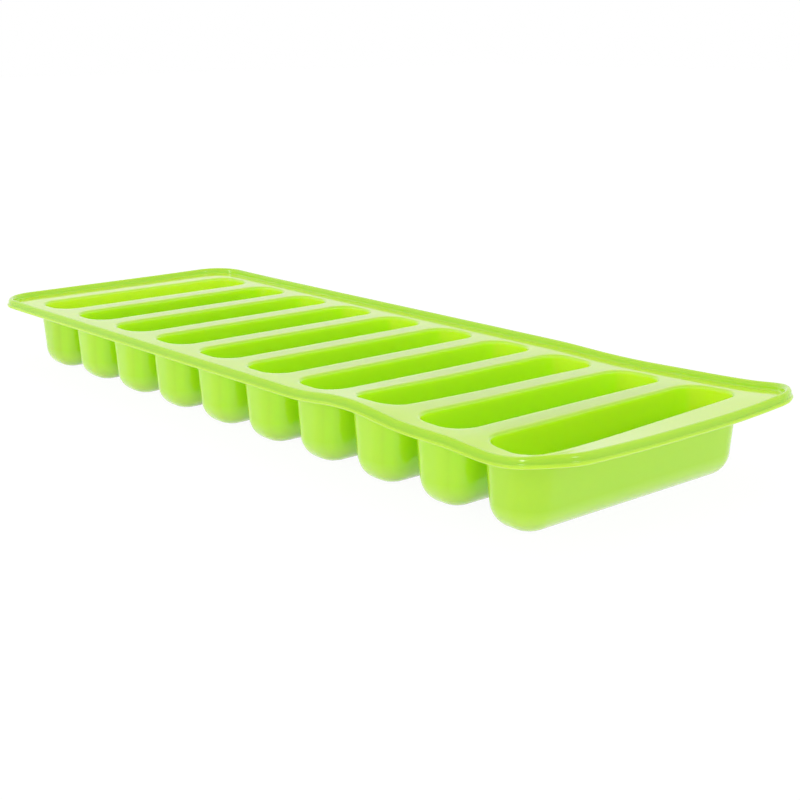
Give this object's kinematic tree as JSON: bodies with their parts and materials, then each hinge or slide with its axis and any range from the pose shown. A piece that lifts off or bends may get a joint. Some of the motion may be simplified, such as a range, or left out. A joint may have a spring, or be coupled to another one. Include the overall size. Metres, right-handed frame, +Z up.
{
  "type": "silicone finger cake mould",
  "caption": "Soft one-piece silicone baking tray with a row of long round-ended cavities under a thin flange, and a raised bead round its gently wavy edge.",
  "frame": {"origin": "centre of the footprint, on the plane of the cavities' flat bottoms", "axes": "+X along the row of cavities, +Y along the cavities towards the far long edge, +Z up out of the cavities"},
  "size_m": [0.2892, 0.104, 0.0273],
  "materials": {
    "silicone": "lime green moulded silicone, soft gloss, slightly translucent where the wall is thin"
  },
  "bodies": {
    "root": {"mould": "silicone"}
  },
  "joints": []
}
